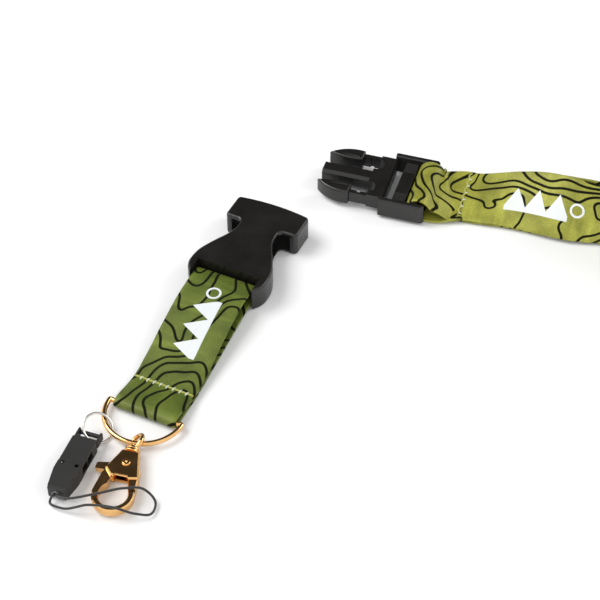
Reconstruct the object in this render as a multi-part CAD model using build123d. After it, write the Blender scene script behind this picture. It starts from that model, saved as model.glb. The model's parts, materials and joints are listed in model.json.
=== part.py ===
from build123d import *
import os
from math import atan2, cos, degrees, pi, radians, sin

# Neck lanyard in 25 mm webbing: a neck loop with the plug half of a side-release buckle, and a short
# detachable half with the socket, a D-ring, a swivelling lobster claw and a small phone connector.
# Millimetres, +Z up. The lanyard lies on z = 0 with the buckle open. The origin is under the middle of
# the face of the plug that the socket closes on. +X runs along the buckle towards the neck loop.

# Driving dimensions
WEB_WIDTH = 25.0
WEB_THICK = 0.9
LAYER_GAP = 0.3
BUCKLE_THICK = 10.5
BUCKLE_WIDTH = 31.0
SOCKET_LENGTH = 46.5
PLUG_LENGTH = 19.0
PRONG_LENGTH = 26.3
PLAY = 0.35
RING_WIRE_R = 0.95
RING_R = 14.6
MINI_WIDTH = 9.0
MINI_THICK = 6.0
CORD_R = 0.5
CUT = 60.0

# Where the detachable half lies: turned about Z and moved from its buckled place
SHORT_TURN = 82.1
SHORT_SHIFT = (-37.1, -32.5)
MID = BUCKLE_THICK / 2

# Neck loop: twists from nearly flat at its stitch to on edge, runs straight, flares, and closes in an arc
NECK_START = 34.2
NECK_STRAIGHT = 54.0
TWIST_LENGTH = 78.0
FLARE_R = 105.0
FLARE_TURN = 35.0
LEG = 102.0
OPENING = 1.3
STITCH_TILT = 9.0
STITCH_Y = 3.9
STITCH_NECK_X = 31.7
STITCH_COUNT = 9
THREAD_R = 0.22
LOW_LAYER = 0.75
FLOOR_GAP = 0.15

# Buckle, plug half
RAIL_IN = WEB_WIDTH / 2 + 0.4
RAIL_OUT = 15.3
RAIL_FRONT = 0.65
RAIL_HALF = 4.25
PLATE_HALF = 3.1
PLATE_FRONT = -6.3
BAY_END = -2.7
ARM_ROOT = -5.4
BAY_IN = 3.9
ARM_OUT = 12.4
ARM_THICK = 1.9
SLOT_FRONT = 1.4
SLOT_REAR = 5.2
RIB_REAR = 10.6
BAR_X = 16.4
BAR_R = 1.2
LOOP_R = 5.0
RIB_PITCH = 1.15
RIB_R = 0.36
CATCH_X = -12.3
HEAD_OUT = 13.4
HINGE_R = ARM_THICK / 2
HINGE_PLAY = 0.06

# Buckle, socket half
CAVITY_HALF = 3.75
CAVITY_DEEP = 28.0
BLOCK_END = -12.0
WAIST_HALF = 8.3
SOCKET_SLOT = -39.0
SOCKET_BAR_X = -42.6
SOCKET_BAR_R = 2.0

# Short strap and ring
STITCH_X = -96.5
FOLD_X = -110.2
FOLD_Y = -3.0
RING_Z = 2.5
RING_CENTRE = (FOLD_X - 0.2, FOLD_Y + 0.2)
RING_CORNER = 2.0

# Lobster claw, in its own frame: +X from the ring to the tip, origin where the ring's wire passes
CLAW_TURN = 190.5
CLAW_ANGLE = 16.6
EYE_Z = 2.95
EYE_R = 3.2
EYE_WIRE_R = 0.85
EYE_ROLL = 46.0
PIN_R = 0.9
COLLAR_R = 2.8
CLAW_MID = EYE_Z - 0.2
CLAW_HALF = 2.3
LIMB_HALF = 1.7
CLAW_TOP = 4.4
RIVET_AT = (10.9, 0.3)
PEAR_AT = (24.6, 0.1)
PEAR_IN = 5.2
PEAR_OUT = 7.4
GATE_HALF = 1.0
GATE_REACH = 16.5
RIVET_R = 0.8

# Phone connector, in its own frame: +X from its eye to the cord, origin at the middle of its top
MINI_TURN = 186.0
MINI_AT = (-127.2, 9.4)
MINI_MID = 3.1
MINI_JOIN = 17.0
MINI_END = 29.0
MINI_EYE_X = 0.9
MINI_EYE_R = 0.8
MINI_HINGE_X = MINI_JOIN + 0.7
MINI_HINGE_Y = 2.7
MINI_HINGE_R = 0.6

# Jump ring, between the D-ring and the connector's eye
JUMP_R = 5.4
JUMP_WIRE_R = 0.45
JUMP_LEAN = 35.0
JUMP_ANGLE = -42.0


def mirror_y(shape):
    return mirror(shape, about=Plane.XZ)


def block(x0, x1, y0, y1, z0, z1):
    """A box given by its six faces."""
    return Pos((x0 + x1) / 2, (y0 + y1) / 2, (z0 + z1) / 2) * Box(x1 - x0, y1 - y0, z1 - z0)


def straight_face(points):
    """A face inside a closed run of straight edges."""
    return make_face(Polyline(*points, close=True))


def slab(face, z0, z1):
    """A flat outline given thickness from z0 to z1."""
    return Pos(0, 0, z0) * extrude(face, z1 - z0)


def rod(start, end, radius):
    """A round bar between two points."""
    line = Edge.make_line(start, end)
    on_start = (Align.CENTER, Align.CENTER, Align.MIN)
    return Plane(origin=start, z_dir=line % 0) * Cylinder(radius, line.length, align=on_start)


def round_wire(path, radius):
    """Round wire or cord along a path."""
    section = Plane(origin=path @ 0, z_dir=path % 0) * Circle(radius)
    return sweep(section, path=path, transition=Transition.ROUND)


def place_short(shape):
    """From the buckled place to where the detachable half lies."""
    return Pos(*SHORT_SHIFT, 0) * Rot(0, 0, SHORT_TURN) * shape


def ring_point(angle):
    """A point on the D-ring's round side, by angle from its middle."""
    a = radians(angle)
    return (RING_CENTRE[0] - RING_R * cos(a), RING_CENTRE[1] - RING_R * sin(a))


def place_claw(shape):
    return place_short(Pos(*ring_point(CLAW_ANGLE), 0) * Rot(0, 0, CLAW_TURN) * shape)


def place_mini(shape):
    return place_short(Pos(*MINI_AT, 0) * Rot(0, 0, MINI_TURN) * shape)


def webbing(stations):
    """A length of webbing ruled through stations: place, direction of travel, direction of its width."""
    sections = [
        Plane(origin=place, x_dir=width, z_dir=travel) * Rectangle(WEB_WIDTH, WEB_THICK)
        for place, travel, width in stations
    ]
    return loft(sections, ruled=True)


# ---------------------------------------------------------------- neck loop
def smooth(t):
    t = min(max(t, 0.0), 1.0)
    return t * t * (3 - 2 * t)


def neck_tilt(x):
    """Angle of the webbing's width above the floor: nearly flat at the stitch, on edge in the loop."""
    return STITCH_TILT + (90 - STITCH_TILT) * smooth((x - NECK_START + 4) / TWIST_LENGTH)


def neck_middle(x):
    """How far the webbing's middle line lies to +Y, before the loop flares."""
    return STITCH_Y + 0.7 * smooth((x - NECK_START) / 12) - (STITCH_Y + 0.7) * smooth((x - 50) / 30)


def neck_height(tilt):
    """Height of the webbing's middle line when its lower edge rests on the floor."""
    a = radians(tilt)
    return WEB_WIDTH / 2 * sin(a) + (WEB_THICK + LAYER_GAP / 2) * cos(a) + FLOOR_GAP


def neck_branch(side):
    """Stations of the front (side -1) or back (side +1) branch, from the stitch to the loop's far end."""
    half_gap = (WEB_THICK + LAYER_GAP) / 2
    stations = []

    def add(x, y, heading, tilt, gap):
        a, h = radians(tilt), radians(heading)
        normal = (-sin(h), cos(h), 0)
        width = (cos(a) * normal[0], cos(a) * normal[1], sin(a))
        face = (sin(a) * normal[0], sin(a) * normal[1], -cos(a))
        place = Vector(x, y, neck_height(tilt)) + Vector(face) * side * gap
        stations.append((place, (cos(h), sin(h), 0), width))

    steps = 9
    for i in range(steps + 1):
        x = NECK_START + NECK_STRAIGHT * i / steps
        opening = OPENING * smooth((i / steps - 0.3) / 0.7)
        add(x, neck_middle(x), 0, neck_tilt(x), half_gap + opening)
    x0 = NECK_START + NECK_STRAIGHT
    y0 = side * 0.5
    for i in range(1, 6):
        turn = FLARE_TURN * i / 5
        a = radians(turn)
        x = x0 + FLARE_R * sin(a)
        add(x, y0 + side * FLARE_R * (1 - cos(a)), side * turn, neck_tilt(x), half_gap + OPENING)
    a = radians(FLARE_TURN)
    leg_x = x0 + FLARE_R * sin(a) + LEG * cos(a)
    leg_y = FLARE_R * (1 - cos(a)) + LEG * sin(a) + 0.5 + half_gap + OPENING
    bend_r = leg_y / cos(a)
    centre_x = leg_x + bend_r * sin(a)
    bends = 12
    for i in range(bends + 1):
        turn = FLARE_TURN - (FLARE_TURN + 90) * i / bends
        b = radians(turn)
        add(centre_x - bend_r * sin(b), side * bend_r * cos(b), side * turn, 90, 0)
    return stations


def make_neck_strap():
    front = neck_branch(-1)
    back = [(place, (-t[0], -t[1], 0), width) for place, t, width in reversed(neck_branch(1)[:-1])]
    return webbing(front + back)


# ---------------------------------------------------------------- strap end at the plug
def strap_end_station(x, z, slope, layer):
    """One station of the webbing round the plug's rear bar. Near the stitch it tilts with the neck loop."""
    share = smooth((x - 22) / (STITCH_NECK_X - 22))
    tilt = radians(neck_tilt(NECK_START) * share)
    lean = (WEB_THICK + LAYER_GAP) / 2 * layer * share
    height = neck_height(neck_tilt(NECK_START))
    place = (x, STITCH_Y * share - lean * sin(tilt), z * (1 - share) + share * (height + lean * cos(tilt)))
    travel = Vector(cos(slope), 0, sin(slope))
    return place, travel, (0, cos(tilt), sin(tilt))


def make_buckle_webbing():
    stitch_end = NECK_START - 0.3
    low = [strap_end_station(x, LOW_LAYER, pi, -1) for x in (stitch_end, 31, 29, 27, 25, 22, 18, 14.8)]
    bends = []
    centre = (BAR_X, MID)
    start = 160
    for i in range(9):
        a = radians(start - i * 17)
        x = centre[0] + LOOP_R * cos(a)
        z = centre[1] + LOOP_R * sin(a)
        bends.append(strap_end_station(x, z, a - pi / 2, 1))
    turn_in = [strap_end_station(12.6, 1.5, radians(142), 0), strap_end_station(11.4, 3.6, radians(100), 0)]
    top = [
        strap_end_station(23.5, 6.4, radians(-26), 1),
        strap_end_station(27, 4.6, radians(-16), 1),
        strap_end_station(29.5, 4.0, radians(-6), 1),
        strap_end_station(31, 4.0, 0, 1),
        strap_end_station(stitch_end, 4.0, 0, 1),
    ]
    return webbing(low + turn_in + bends + top)


def make_neck_stitching():
    """A zigzag of thread across both layers, seen on the top and the bottom face."""
    tilt = radians(neck_tilt(NECK_START))
    middle = Vector(STITCH_NECK_X, STITCH_Y, neck_height(neck_tilt(NECK_START)))
    along = Vector(0.5, 0, 0)
    across = Vector(0, cos(tilt), sin(tilt))
    outward = Vector(0, -sin(tilt), cos(tilt))
    pitch = (WEB_WIDTH - 3) / STITCH_COUNT
    stitches = []
    for layer in (-1, 1):
        row = middle + outward * (WEB_THICK + LAYER_GAP / 2) * layer
        for i in range(STITCH_COUNT):
            place = row + across * (i - (STITCH_COUNT - 1) / 2) * pitch
            lean = along if i % 2 else -along
            reach = lean + across * pitch * 0.4
            stitches.append(rod(place - reach, place + reach, THREAD_R))
    return Compound(children=stitches)


# ---------------------------------------------------------------- plug half of the buckle
def make_male_frame():
    rail = block(RAIL_FRONT, PLUG_LENGTH, RAIL_IN, RAIL_OUT, MID - RAIL_HALF, MID + RAIL_HALF)
    rail = chamfer(rail.edges().filter_by(Axis.Z).group_by(Axis.X)[-1].sort_by(Axis.Y)[-1], 1.4)
    rail = fillet(rail.edges().filter_by(Axis.X), 0.7)
    into_rail = RAIL_IN + 0.5
    front = block(PLATE_FRONT, SLOT_FRONT, -into_rail, into_rail, MID - PLATE_HALF, MID + PLATE_HALF)
    for y0, y1 in ((-CUT, -ARM_OUT), (ARM_OUT, CUT)):
        front -= block(PLATE_FRONT - 1, RAIL_FRONT, y0, y1, 0, CUT)
    step = block(SLOT_FRONT - 0.01, SLOT_FRONT + 0.6, -into_rail, into_rail, MID - 2.2, MID + 1.6)
    plate = block(SLOT_REAR, RIB_REAR, -into_rail, into_rail, MID - 2.6, MID + 2.3)
    plate = fillet(plate.edges().filter_by(Axis.Y), 0.5)
    bar = rod((BAR_X, -into_rail, MID), (BAR_X, into_rail, MID), BAR_R)
    tongue = block(-PRONG_LENGTH, PLATE_FRONT + 0.01, -3.3, 3.3, MID - PLATE_HALF, MID + PLATE_HALF)
    tongue = chamfer(tongue.edges().filter_by(Axis.X), 1.1)
    tongue = fillet(tongue.faces().sort_by(Axis.X)[0].edges(), 0.4)
    frame = front + step + plate + bar + tongue + rail + mirror_y(rail)
    for group in (-1, 1):
        for i in range(5):
            y = group * (RAIL_IN - 1.3 - i * RIB_PITCH)
            frame += rod((SLOT_REAR + 0.4, y, MID + 2.2), (RIB_REAR - 0.4, y, MID + 2.2), RIB_R)
    for side in (-1, 1):
        bay_mid = side * (BAY_IN + ARM_OUT - ARM_THICK) / 2
        bay_width = ARM_OUT - ARM_THICK - BAY_IN
        bay_length = BAY_END - PLATE_FRONT + bay_width
        frame -= slab(Pos(BAY_END - bay_length / 2, bay_mid) * SlotOverall(bay_length, bay_width), 0, CUT)
        socket_y = side * (ARM_OUT - HINGE_R)
        frame -= Pos(ARM_ROOT, socket_y, MID) * Cylinder(HINGE_R + HINGE_PLAY, CUT)
        frame -= block(PLATE_FRONT - 1, ARM_ROOT, socket_y - HINGE_R * 1.5, socket_y + HINGE_R * 1.5, 0, CUT)
    return frame


def make_latch_arm(side):
    """A sprung prong: thin neck, leaf-shaped head with a catch face and raised guide lip."""
    hinge_y = ARM_OUT - HINGE_R
    neck = block(CATCH_X - 0.5, ARM_ROOT, ARM_OUT - ARM_THICK, ARM_OUT, MID - 2.4, MID + 2.4)
    root = Pos(ARM_ROOT, hinge_y, MID) * Cylinder(HINGE_R, 4.8)
    notch = Pos(-8.6, ARM_OUT - ARM_THICK, MID) * Cylinder(0.8, CUT)
    tip = (-PRONG_LENGTH, WAIST_HALF + 0.6)
    outline = make_face([
        Edge.make_line((CATCH_X, 8.2), (CATCH_X, HEAD_OUT)),
        Edge.make_three_point_arc((CATCH_X, HEAD_OUT), (CATCH_X - 8, HEAD_OUT - 0.7), tip),
        Edge.make_three_point_arc(tip, (CATCH_X - 8, 7.6), (CATCH_X, 8.2)),
    ])
    head = slab(outline, MID - 3.4, MID + 3.4)
    head = fillet(head.edges().filter_by(Axis.Z, reverse=True), 0.9)
    ridge = rod((CATCH_X - 1.2, 8.9, MID + 3.1), (-PRONG_LENGTH + 5, 9.4, MID + 2.9), 0.55)
    arm = neck - notch + root + head + ridge
    return arm if side > 0 else mirror_y(arm)


# ---------------------------------------------------------------- socket half of the buckle
def socket_outline():
    """Outline of the socket seen from above: mouth block, waist, shoulders."""
    half = BUCKLE_WIDTH / 2
    flank = [
        Edge.make_line((0, half), (BLOCK_END, half)),
        Edge.make_line((BLOCK_END, half), (BLOCK_END, WAIST_HALF)),
        Edge.make_line((BLOCK_END, WAIST_HALF), (BLOCK_END - 3, WAIST_HALF)),
        Edge.make_spline([(BLOCK_END - 3, WAIST_HALF), (-24.5, 11.4), (-32, 15.0), (-39.5, half + 0.8)],
                         tangents=[(-1, 0), (-1, 0)]),
        Edge.make_tangent_arc((-39.5, half + 0.8), (-1, 0), (-SOCKET_LENGTH, half - 2.6)),
    ]
    mouth = Edge.make_three_point_arc((0, -half), (1.4, 0), (0, half))
    back = Edge.make_line((-SOCKET_LENGTH, half - 2.6), (-SOCKET_LENGTH, 2.6 - half))
    outline = make_face(Wire([mouth, *flank, back, *[edge.mirror(Plane.XZ) for edge in flank]]))
    corners = outline.vertices().filter_by(lambda v: v.X > BLOCK_END - 1)
    outline = fillet(corners, 1.8)
    return fillet(outline.vertices().group_by(Axis.X)[0], 1.2)


def make_female_housing():
    body = slab(socket_outline(), 0, BUCKLE_THICK)
    rim = body.faces().filter_by(Axis.Z).edges()
    body = fillet(rim, 1.1)
    cavity = block(-CAVITY_DEEP, CUT, -ARM_OUT - PLAY, ARM_OUT + PLAY, MID - CAVITY_HALF, MID + CAVITY_HALF)
    window = block(-CAVITY_DEEP, BLOCK_END, -CUT, CUT, MID - CAVITY_HALF, MID + CAVITY_HALF)
    slot = block(-CUT, SOCKET_SLOT, -WEB_WIDTH / 2 - 0.7, WEB_WIDTH / 2 + 0.7, -1, CUT)
    bar_end = WEB_WIDTH / 2 + 1.5
    bar = rod((SOCKET_BAR_X, -bar_end, MID), (SOCKET_BAR_X, bar_end, MID), SOCKET_BAR_R)
    return body - cavity - window - slot + bar


# ---------------------------------------------------------------- short strap
def strap_drift(x):
    """How far the short strap drifts sideways on its way to the ring."""
    return FOLD_Y * smooth((-48 - x) / 55)


def make_short_strap():
    top_r = SOCKET_BAR_R + 0.12 + WEB_THICK / 2
    fold_r = RING_WIRE_R + 0.12 + WEB_THICK / 2
    layer = (WEB_THICK + LAYER_GAP) / 2

    def station(x, z, angle):
        travel = (cos(radians(angle)), 0, sin(radians(angle)))
        return (x, strap_drift(x), z), travel, (0, 1, 0)

    def half_turn(centre, radius, start):
        angles = [start - i * 22.5 for i in range(9)]
        return [
            station(centre[0] + radius * cos(radians(a)), centre[1] + radius * sin(radians(a)), a - 90)
            for a in angles
        ]

    end_x = STITCH_X + 3
    stations = [station(end_x, 1.55 - layer, 180), station(STITCH_X, 1.55 - layer, 180)]
    stations += [station(STITCH_X - 6, 1.0, 180)]
    stations += half_turn((FOLD_X, RING_Z), fold_r, 270)
    stations += [station(STITCH_X - 6, 3.1, -8), station(STITCH_X, 1.7 + layer, 0)]
    stations += [station(-86, 3.3, 9), station(-70, 5.9, 9), station(-52, 8.0, 4)]
    stations += half_turn((SOCKET_BAR_X, MID), top_r, 90)
    stations += [station(-52, 1.6, 184), station(-62, 0.95, 180), station(end_x + 0.5, 1.55 - layer, 180)]
    return webbing(stations)


def make_short_stitching():
    """One row of thread across the doubled strap, on the top and the bottom face."""
    layer = (WEB_THICK + LAYER_GAP) / 2
    faces = (1.7 + layer + WEB_THICK / 2, 1.55 - layer - WEB_THICK / 2)
    pitch = (WEB_WIDTH - 2) / STITCH_COUNT
    reach = pitch * 0.38
    stitches = []
    for z in faces:
        for i in range(STITCH_COUNT):
            y = strap_drift(STITCH_X) + (i - (STITCH_COUNT - 1) / 2) * pitch
            stitches.append(rod((STITCH_X, y - reach, z), (STITCH_X, y + reach, z), THREAD_R))
    return Compound(children=stitches)


# ---------------------------------------------------------------- rings
def make_d_ring():
    """Round wire: a straight side in the strap's fold, and a half circle below it."""
    cx, cy = RING_CENTRE
    bar_ends = [(FOLD_X, FOLD_Y + side * (RING_R - RING_CORNER), RING_Z) for side in (-1, 1)]
    round_ends = [(cx, cy + side * RING_R, RING_Z) for side in (-1, 1)]
    path = Wire([
        Edge.make_line(bar_ends[0], bar_ends[1]),
        Edge.make_spline([bar_ends[1], round_ends[1]], tangents=[(0, 1, 0), (-1, 0, 0)]),
        Edge.make_three_point_arc(round_ends[1], (cx - RING_R, cy, RING_Z), round_ends[0]),
        Edge.make_spline([round_ends[0], bar_ends[0]], tangents=[(1, 0, 0), (0, 1, 0)]),
    ])
    return round_wire(path, RING_WIRE_R)


# ---------------------------------------------------------------- lobster claw
def make_swivel_bail():
    """An eye, rolled about the claw's long axis so the ring's wire passes through it, and a bored boss."""
    eye = Pos(0, 0, EYE_Z) * Rot(EYE_ROLL, 0, 0) * Torus(EYE_R, EYE_WIRE_R)
    boss = rod((EYE_R - 0.5, 0, EYE_Z), (CLAW_TOP - 0.1, 0, EYE_Z), 2.0)
    collar = rod((CLAW_TOP - 0.95, 0, EYE_Z), (CLAW_TOP - 0.1, 0, EYE_Z), COLLAR_R)
    collar = fillet(collar.edges(), 0.3)
    bore = rod((0, 0, EYE_Z), (CLAW_TOP + 1, 0, EYE_Z), PIN_R + 0.05)
    return eye + boss + collar - bore


def make_swivel_pin():
    head = rod((1.4, 0, EYE_Z), (2.1, 0, EYE_Z), 1.1)
    return fillet(head.edges(), 0.25) + rod((2.0, 0, EYE_Z), (CLAW_TOP + 3.0, 0, EYE_Z), PIN_R)


def claw_plate():
    """Flat tapering plate of the claw, from the collar down to the arch over the opening."""
    top = CLAW_TOP + 0.9
    return straight_face([(top, -3.1), (14.2, -6.1), (17.2, -3.4), (17.4, 3.4), (16.6, 6.6), (top, 3.3)])


def make_claw_body():
    """Plates round the gate's hub, spine, and the hook that runs round the opening to its nose."""
    collar = rod((CLAW_TOP, 0, EYE_Z), (CLAW_TOP + 1.0, 0, EYE_Z), COLLAR_R)
    collar = fillet(collar.edges(), 0.3)
    plate = slab(claw_plate(), CLAW_MID - CLAW_HALF, CLAW_MID + CLAW_HALF)
    plate = chamfer(plate.faces().filter_by(Axis.Z).edges(), 0.5)
    pear_x, pear_y = PEAR_AT
    bevel = 0.45
    pear = Pos(*PEAR_AT) * Circle(PEAR_OUT)
    spine = straight_face([(12.5, 2.6), (12.5, 6.0), (pear_x - 1.3, pear_y + 7.28), PEAR_AT])
    hook = slab(pear + spine, CLAW_MID - LIMB_HALF, CLAW_MID + LIMB_HALF)
    hook = chamfer(hook.faces().filter_by(Axis.Z).edges(), bevel)
    throat_end = pear_x - 1.6
    throat = straight_face([(16.3, -2.2), (16.3, 2.6), (throat_end, 5.0), (throat_end, -4.8)])
    hole = Pos(*PEAR_AT) * Circle(PEAR_IN) + throat
    opening = slab(hole, 0, CUT)
    for outline, side in ((hole, 1), (mirror_y(hole), -1)):
        to_face = Pos(0, 0, CLAW_MID + side * LIMB_HALF) * Rot(0 if side > 0 else 180, 0, 0)
        opening += to_face * Pos(0, 0, -bevel) * extrude(outline, bevel + 0.05, taper=-40)
    gate_side = straight_face([(10, -12), (10, -2.2), (pear_x - 2, -2.6), (32, -3.5), (32, -12)])
    gate_side &= Pos(*RIVET_AT) * Circle(GATE_REACH + 0.25)
    hook -= slab(gate_side, 0, CUT)
    hub_room = straight_face([(7.9, -12), (7.9, 2.6), (14.5, 2.9), (30, 2.9), (30, -12)])
    room = slab(hub_room, CLAW_MID - GATE_HALF - 0.1, CLAW_MID + GATE_HALF + 0.1)
    room &= slab(claw_plate(), 0, CUT)
    rivet_hole = Pos(*RIVET_AT, CLAW_MID) * Cylinder(RIVET_R, CUT)
    return collar + plate + hook - opening - room - rivet_hole


def make_gate_rivet():
    """Shank through both plates with a low domed head on each."""
    shank = Pos(*RIVET_AT, CLAW_MID) * Cylinder(RIVET_R, 2 * CLAW_HALF)
    head = Pos(*RIVET_AT, CLAW_MID + CLAW_HALF + 0.25) * Cylinder(1.45, 0.5)
    head = fillet(head.edges().sort_by(Axis.Z)[-1], 0.4)
    foot = Pos(*RIVET_AT, CLAW_MID - CLAW_HALF - 0.1) * Cylinder(1.45, 0.2)
    dimple = Pos(*RIVET_AT, CLAW_MID + CLAW_HALF + 0.6) * Sphere(0.5)
    return shank + head + foot - dimple


def make_gate_lever():
    """Hub on the rivet, thumb tab to one side, and the limb that closes the opening."""
    pear_x, pear_y = PEAR_AT
    hub = Pos(*RIVET_AT) * Circle(2.2)
    tab = straight_face([(10.2, -1), (12.2, -9.9), (14.9, -9.9), (14.6, -4.5), (13.2, -1)])
    arm = straight_face([(10.5, -1.2), (13.3, -6.0), (16.4, -6.9), (18.9, -7.0), (18.9, -4.6), (13.4, -0.9)])
    tab = fillet(tab.vertices().group_by(Axis.Y)[0], 0.6)
    plate = slab(hub + tab + arm, CLAW_MID - GATE_HALF, CLAW_MID + GATE_HALF)
    ring = Pos(*PEAR_AT) * Circle(PEAR_OUT - 0.05) - Pos(*PEAR_AT) * Circle(PEAR_IN)
    limb_top = (18.1, -4.0)
    shoulder = straight_face([(16.2, -6.55), (pear_x - 0.4, pear_y - 7.35), (pear_x, pear_y - 5.2), limb_top])
    limb_side = straight_face([(16.2, -12), (32, -12), (32, -4.2), (18.1, -3.2)])
    limb_side &= Pos(*RIVET_AT) * Circle(GATE_REACH)
    limb = slab((ring + shoulder) & limb_side, CLAW_MID - LIMB_HALF, CLAW_MID + LIMB_HALF)
    bore = Pos(*RIVET_AT, CLAW_MID) * Cylinder(RIVET_R + 0.05, CUT)
    spring_recess = Pos(*RIVET_AT, CLAW_MID + GATE_HALF) * Cylinder(1.9, 0.9)
    return plate + limb - bore - spring_recess


def make_gate_spring():
    """Coil round the rivet, in the recess of the gate's hub."""
    pitch = 0.36
    coil = Helix(pitch=pitch, height=pitch, radius=1.4)
    wire = sweep(Plane(origin=coil @ 0, z_dir=coil % 0) * Circle(0.13), path=coil, is_frenet=True)
    return Pos(*RIVET_AT, CLAW_MID + GATE_HALF - 0.35) * wire


# ---------------------------------------------------------------- jump ring and phone connector
def jump_frame():
    """The jump ring's middle, and the heading from the D-ring's wire to the connector's eye."""
    start = ring_point(JUMP_ANGLE)
    turn = radians(MINI_TURN)
    eye = (MINI_AT[0] + MINI_EYE_X * cos(turn), MINI_AT[1] + MINI_EYE_X * sin(turn))
    heading = degrees(atan2(eye[1] - start[1], eye[0] - start[0]))
    middle = ((start[0] + eye[0]) / 2, (start[1] + eye[1]) / 2)
    return middle, heading


def make_jump_ring():
    middle, heading = jump_frame()
    height = JUMP_R * sin(radians(JUMP_LEAN)) + 0.5
    lean = Rot(0, 0, heading) * Rot(180 - JUMP_LEAN, 0, 0)
    return Pos(*middle, height) * lean * Torus(JUMP_R, JUMP_WIRE_R)


def mini_block(x0, x1, half_width, half_thick):
    return block(x0, x1, -half_width, half_width, MINI_MID - half_thick, MINI_MID + half_thick)


def make_mini_socket():
    """Hollow shell with an eye at its top and a window in each side."""
    wide = MINI_WIDTH / 2
    thick = MINI_THICK / 2
    eye = mini_block(0.2, 4.8, wide, 1.5) - mini_block(-1, 3.7, wide - 0.8, CUT)
    eye += rod((MINI_EYE_X, 0.4 - wide, MINI_MID), (MINI_EYE_X, wide - 0.4, MINI_MID), MINI_EYE_R)
    step = mini_block(4.6, 5.6, wide - 0.9, thick - 0.5)
    shell = fillet(mini_block(5.4, MINI_JOIN, wide, thick).edges().filter_by(Axis.X), 0.5)
    hollow = mini_block(7.0, CUT, wide - 0.9, thick - 0.9)
    window = mini_block(9.0, CUT, CUT, 1.7)
    return eye + step + shell - hollow - window


def make_mini_plug():
    """Tapered grip with a tongue in the socket, notched for its two squeeze arms."""
    wide = MINI_WIDTH / 2
    thick = MINI_THICK / 2
    face = straight_face([(MINI_JOIN + 0.05, -wide), (MINI_END - 8, -wide), (MINI_END, -wide + 1.4),
                          (MINI_END, wide - 1.4), (MINI_END - 8, wide), (MINI_JOIN + 0.05, wide)])
    grip = slab(face, MINI_MID - thick, MINI_MID + thick)
    grip = chamfer(grip.edges().filter_by(Axis.Z, reverse=True).group_by(Axis.X)[-1], 0.8)
    tongue = mini_block(8.2, MINI_JOIN + 1, 1.1, 1.6)
    hole = rod((MINI_END - 3.0, 0, MINI_MID), (MINI_END + 1, 0, MINI_MID), 1.5)
    plug = grip + tongue - hole
    for side in (-1, 1):
        hole_r = MINI_HINGE_R + HINGE_PLAY
        y = side * MINI_HINGE_Y
        plug -= Pos(MINI_HINGE_X, y, MINI_MID) * Cylinder(hole_r, CUT)
        plug -= block(MINI_JOIN, MINI_HINGE_X, y - hole_r, y + hole_r, -1, CUT)
    return plug


def make_mini_latch(side):
    """One squeeze arm of the small plug, with its catch in the socket's window."""
    half = 1.6
    inner = MINI_HINGE_Y - MINI_HINGE_R
    outer = MINI_HINGE_Y + MINI_HINGE_R
    root = Pos(MINI_HINGE_X, MINI_HINGE_Y, MINI_MID) * Cylinder(MINI_HINGE_R, 2 * half)
    arm = block(10.4, MINI_HINGE_X, inner, outer, MINI_MID - half, MINI_MID + half)
    wedge = straight_face([(9.6, inner), (9.6, 2.9), (13.6, 4.7), (13.6, 3.0), (12.0, inner)])
    catch = slab(wedge, MINI_MID - half, MINI_MID + half)
    latch = root + arm + catch
    return latch if side > 0 else mirror_y(latch)


def make_cord_crimp():
    """Metal sleeve in the plug's end that grips both ends of the cord."""
    sleeve = rod((MINI_END - 2.9, 0, MINI_MID), (MINI_END + 0.5, 0, MINI_MID), 1.45)
    return sleeve - rod((MINI_END - 2.0, 0, MINI_MID), (MINI_END + 1, 0, MINI_MID), 1.2)


def mini_point(x, y, z):
    """A point of the connector's own frame in the detachable half's frame."""
    a = radians(MINI_TURN)
    return (MINI_AT[0] + x * cos(a) - y * sin(a), MINI_AT[1] + x * sin(a) + y * cos(a), z)


def make_cord_loop():
    """Thin cord: out of the sleeve, over the claw's hook, round, and back over it to the sleeve."""
    ends = [mini_point(MINI_END - 0.6, side * (CORD_R + 0.08), MINI_MID) for side in (1, -1)]
    exits = [mini_point(MINI_END + 0.8, side * (CORD_R + 0.16), MINI_MID) for side in (1, -1)]
    over = [(-157.6, 2.6, 4.6), (-152.0, -7.3, 6.0), (-146.0, -14.5, 6.0)]
    turn = [(-142.2, -20.0, 4.2), (-143.6, -25.2, 1.4), (-148.4, -26.2, 1.2)]
    back = [(-151.9, -22.0, 3.0), (-154.4, -15.5, 5.6), (-156.6, -7.0, 5.0), (-159.6, 2.4, 1.6)]
    bend = mini_point(MINI_END + 3.0, -1.2, 1.6)
    path = Edge.make_spline([ends[0], exits[0], *over, *turn, *back, bend, exits[1], ends[1]])
    return round_wire(path, CORD_R)


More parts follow.
